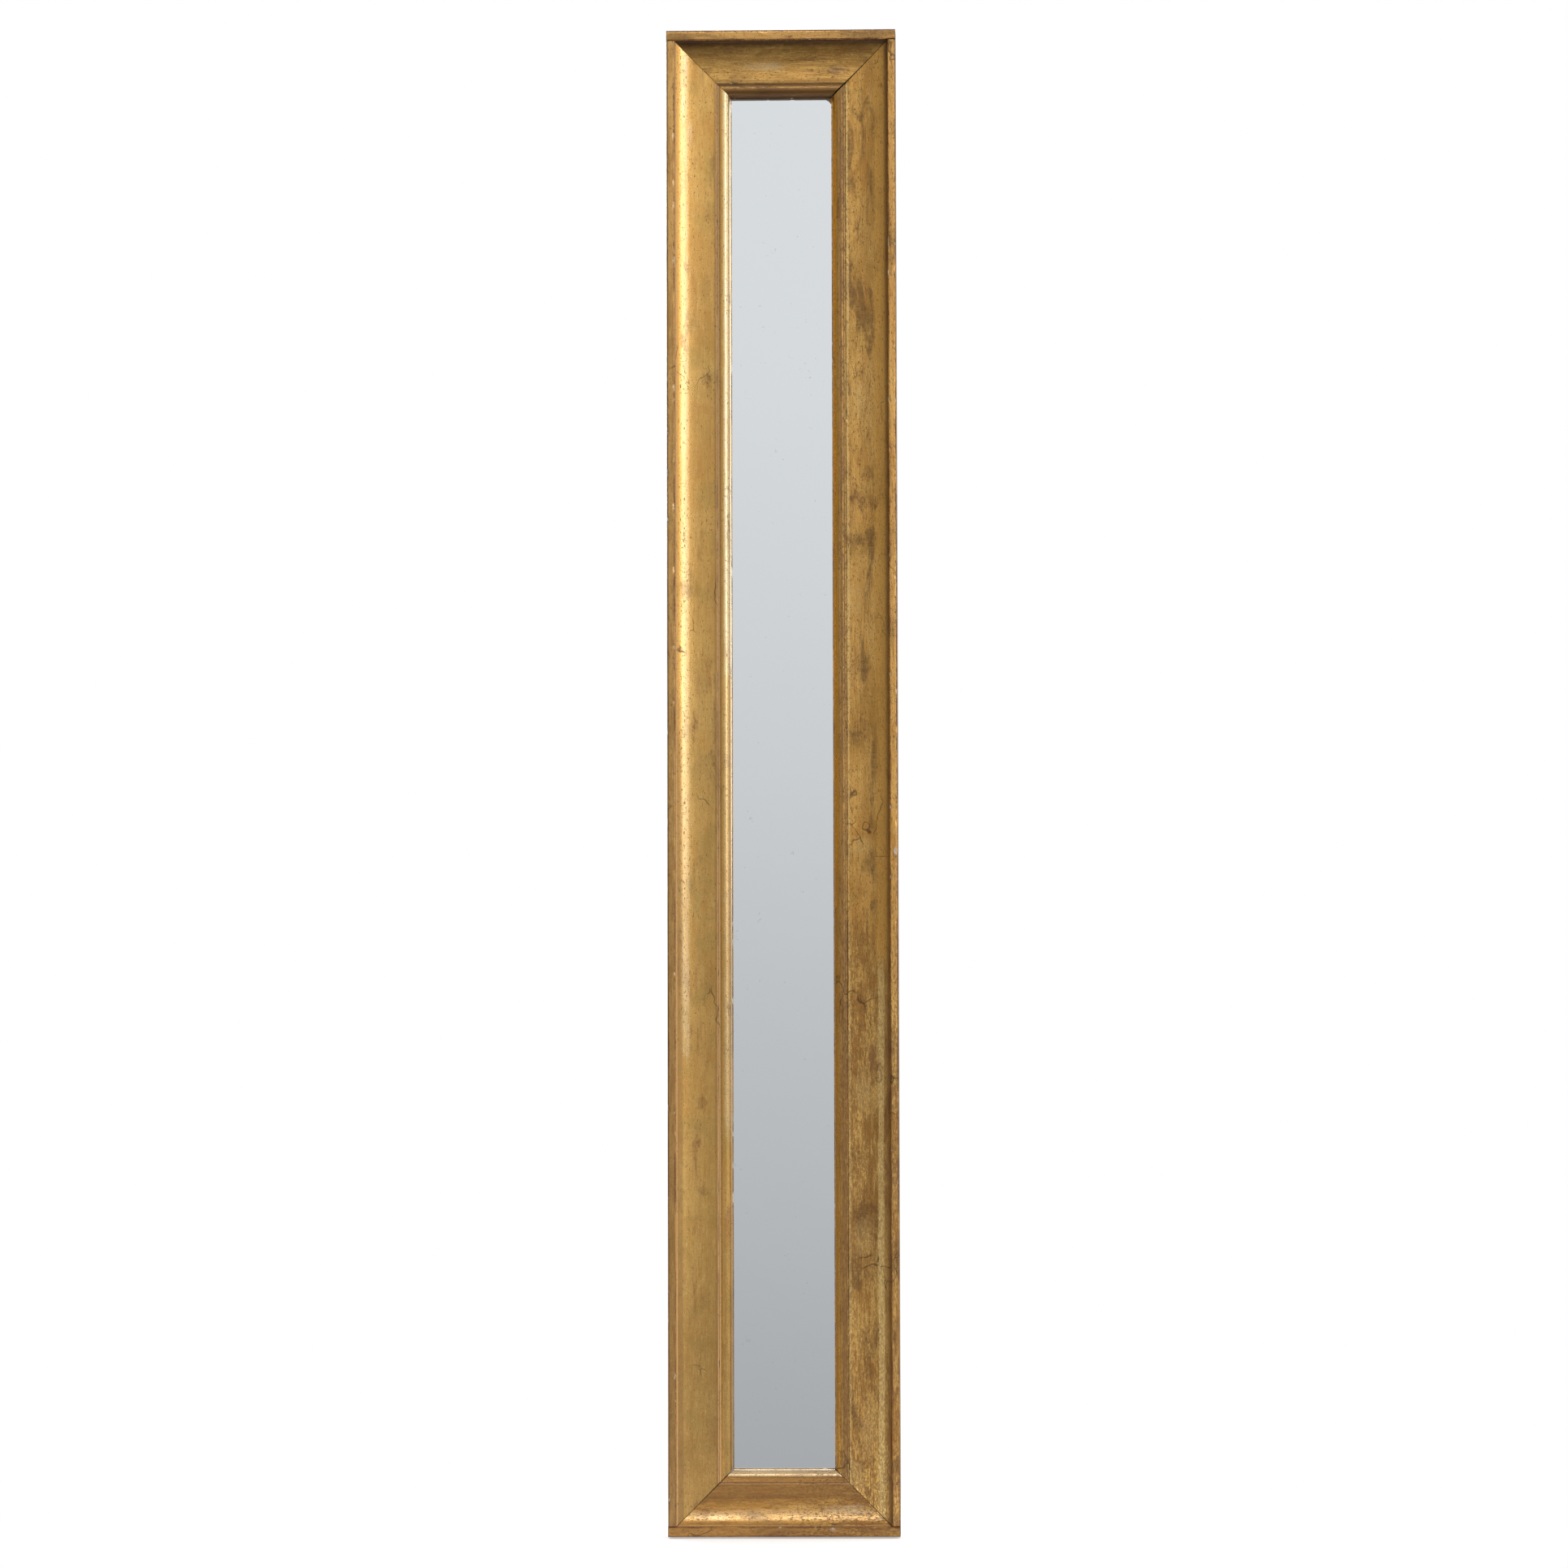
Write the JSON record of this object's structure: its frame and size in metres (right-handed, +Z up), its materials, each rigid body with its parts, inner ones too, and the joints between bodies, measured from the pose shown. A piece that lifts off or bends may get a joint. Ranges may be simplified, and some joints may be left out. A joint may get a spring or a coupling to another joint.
{
  "type": "pier mirror",
  "caption": "Tall narrow pier mirror in a gilded cove frame with mitred sight moulding, plain rim strips and iron hanging rings on its back.",
  "frame": {"origin": "centre of the back, on the rear face of the middle backboard, which is flush with the rear of the back frame", "axes": "+X to the right seen from the front, +Y backwards to the wall, +Z up along the mirror's height"},
  "size_m": [0.284, 0.0536, 1.858],
  "materials": {
    "worn_gilding": "gold leaf over gesso and red-brown clay, rubbed and crackled with age",
    "pine": "bare pine, aged and dusty",
    "old_pine": "bare pine, darkened",
    "silvered_plate": "clear polished plate, silvered on its back",
    "dark_iron": "dark iron, lightly rusted",
    "cork": "bare cork"
  },
  "bodies": {
    "frame": {"back_frame_rail_bottom": "pine", "back_frame_rail_top": "pine", "back_frame_stile_left": "pine", "back_frame_stile_right": "pine", "backboard_lower": "old_pine", "backboard_middle": "old_pine", "backboard_upper": "old_pine", "board_nail_lower_left_bottom": "dark_iron", "board_nail_lower_left_top": "dark_iron", "board_nail_lower_right_bottom": "dark_iron", "board_nail_lower_right_top": "dark_iron", "board_nail_middle_left_bottom": "dark_iron", "board_nail_middle_left_top": "dark_iron", "board_nail_middle_right_bottom": "dark_iron", "board_nail_middle_right_top": "dark_iron", "board_nail_upper_left_bottom": "dark_iron", "board_nail_upper_left_top": "dark_iron", "board_nail_upper_right_bottom": "dark_iron", "board_nail_upper_right_top": "dark_iron", "corner_peg_bottom_left": "old_pine", "corner_peg_bottom_right": "old_pine", "corner_peg_top_left": "old_pine", "corner_peg_top_right": "old_pine", "cove_moulding_bottom": "worn_gilding", "cove_moulding_left": "worn_gilding", "cove_moulding_right": "worn_gilding", "cove_moulding_top": "worn_gilding", "glazing_block_bottom": "pine", "glazing_block_left_1": "pine", "glazing_block_left_2": "pine", "glazing_block_left_3": "pine", "glazing_block_right_1": "pine", "glazing_block_right_2": "pine", "glazing_block_right_3": "pine", "glazing_block_top": "pine", "hanger_screw_left_lower": "dark_iron", "hanger_screw_left_upper": "dark_iron", "hanger_screw_right_lower": "dark_iron", "hanger_screw_right_upper": "dark_iron", "hanger_strap_left": "dark_iron", "hanger_strap_right": "dark_iron", "mirror_plate": "silvered_plate", "outer_strip_bottom": "worn_gilding", "outer_strip_left": "worn_gilding", "outer_strip_right": "worn_gilding", "outer_strip_top": "worn_gilding", "sight_moulding_bottom": "worn_gilding", "sight_moulding_left": "worn_gilding", "sight_moulding_right": "worn_gilding", "sight_moulding_top": "worn_gilding", "wall_bumper_left": "cork", "wall_bumper_right": "cork"},
    "ring_left": {"hanging_ring_left": "dark_iron"},
    "ring_right": {"hanging_ring_right": "dark_iron"}
  },
  "joints": [
    {"name": "ring_left_swing", "type": "hinge", "parent": "frame", "child": "ring_left", "pos_m": [-0.10605, 0.0038, 0.629], "axis": [1, 0, 0], "range_deg": [0, 184]},
    {"name": "ring_right_swing", "type": "hinge", "parent": "frame", "child": "ring_right", "pos_m": [0.10605, 0.0038, 0.629], "axis": [1, 0, 0], "range_deg": [0, 184]}
  ]
}
